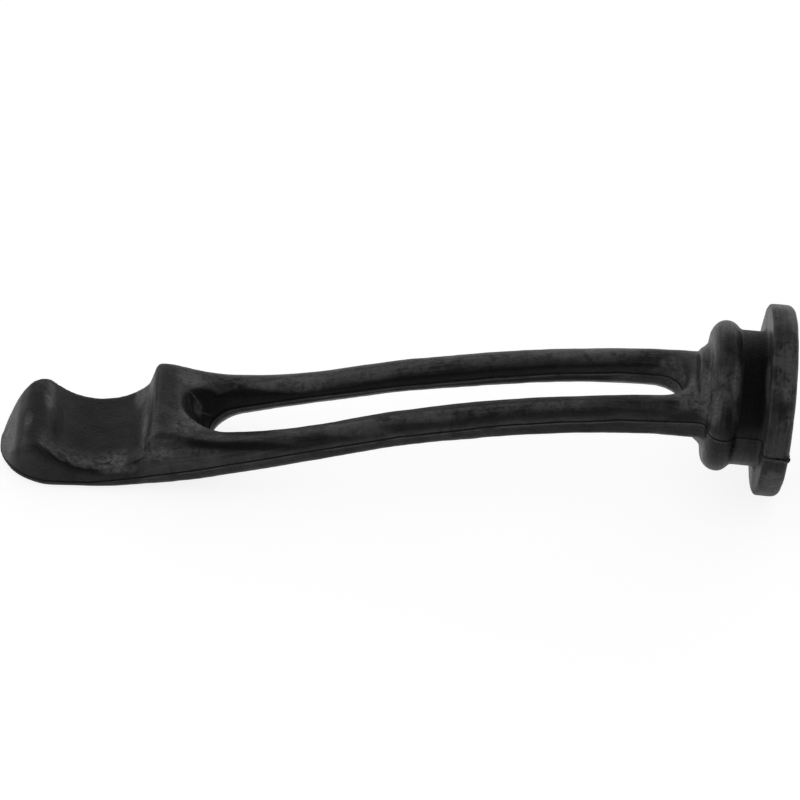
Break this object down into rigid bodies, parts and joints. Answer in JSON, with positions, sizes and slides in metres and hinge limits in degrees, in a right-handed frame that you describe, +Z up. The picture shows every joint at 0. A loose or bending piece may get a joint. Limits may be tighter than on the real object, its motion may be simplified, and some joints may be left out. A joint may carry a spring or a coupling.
{
  "type": "rubber draw latch strap",
  "caption": "One-piece rubber draw latch: finger head with saddle and ridge, two bowed arms round a keeper slot, and a grooved snap-in anchor with a round flange.",
  "frame": {"origin": "bottom centre of the part's box, on the surface it lies on", "axes": "+X along the strap from the finger head to the round flange, +Y across it, +Z up; the part lies on its head and its flange rim"},
  "size_m": [0.1486, 0.0362, 0.0362],
  "materials": {
    "black_rubber": "moulded black rubber with grey bloom, scuffs and a fine flash line along the parting line"
  },
  "bodies": {
    "root": {"latch_strap": "black_rubber"}
  },
  "joints": []
}
